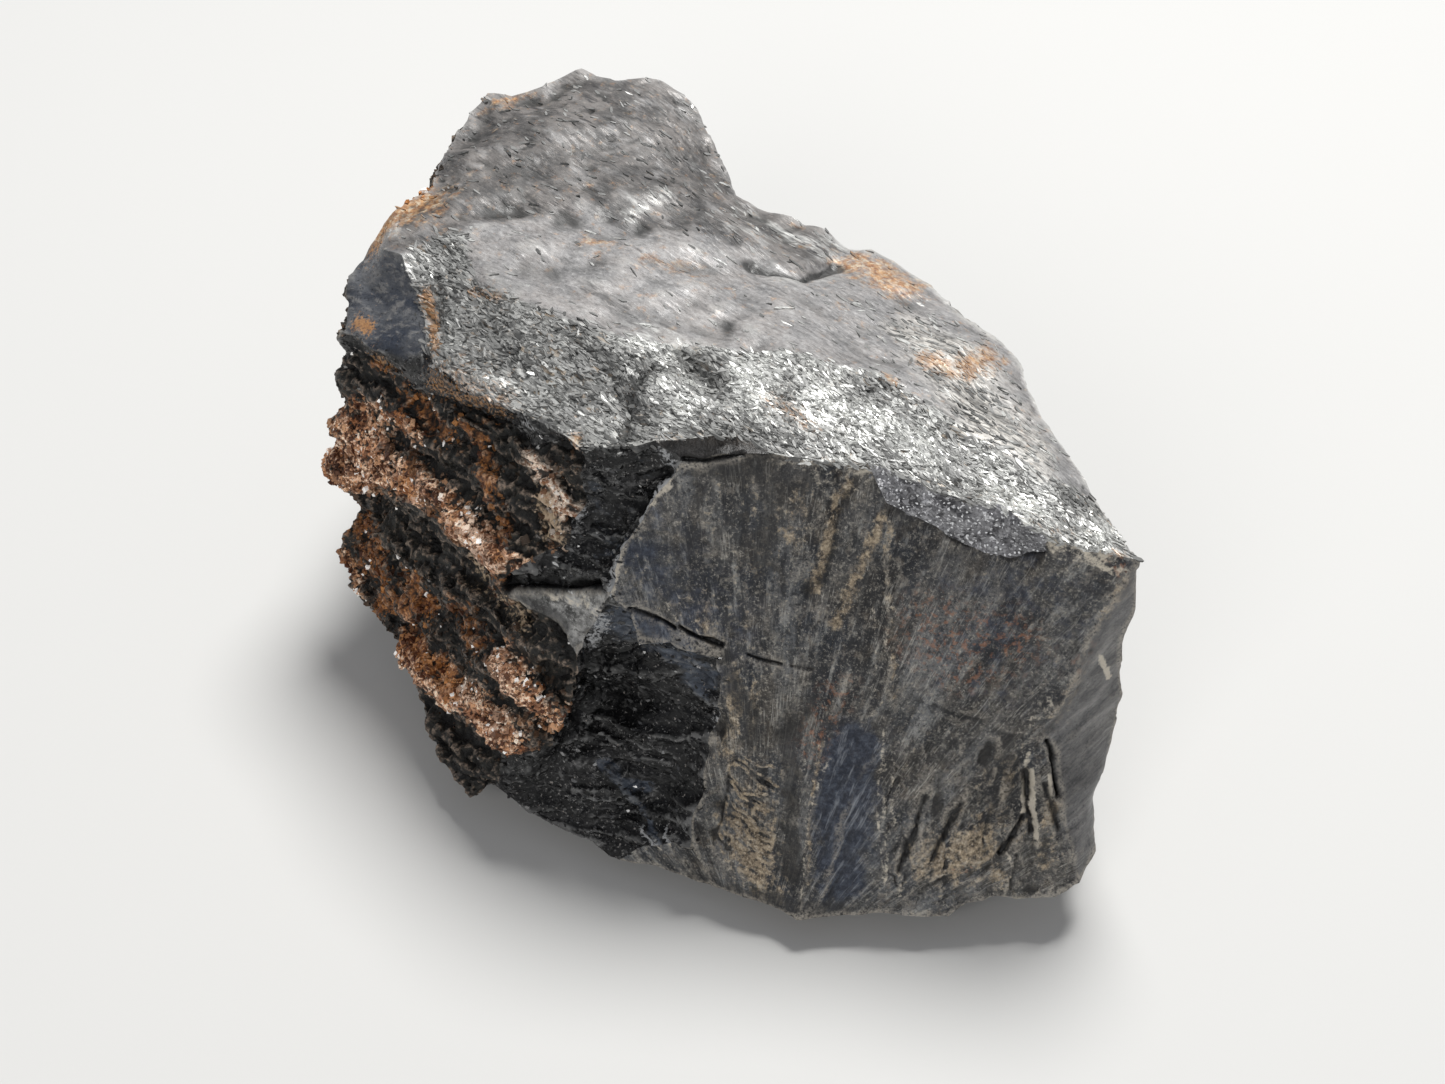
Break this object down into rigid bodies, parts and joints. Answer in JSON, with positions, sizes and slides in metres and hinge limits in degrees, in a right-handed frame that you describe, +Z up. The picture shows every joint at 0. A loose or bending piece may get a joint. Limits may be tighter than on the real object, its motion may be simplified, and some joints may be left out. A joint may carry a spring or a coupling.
{
  "type": "tantalite crystal",
  "caption": "Broken lump of a thick, flat tantalite crystal with a silvery mica-scaled top, dark fracture faces and a rusty feldspar crust on one side.",
  "frame": {"origin": "a point in the middle of the flat facet that the crystal rests on", "axes": "+Z up from the resting facet to the scaly top, +X along the large dark face, +Y from that face to the back"},
  "size_m": [0.0658, 0.0679, 0.0402],
  "materials": {
    "crystal": "dark grey, submetallic to satin fracture faces, silver mica scales on top, rust and pale feldspar crust on the left"
  },
  "bodies": {
    "root": {"tantalite_crystal": "crystal"}
  },
  "joints": []
}
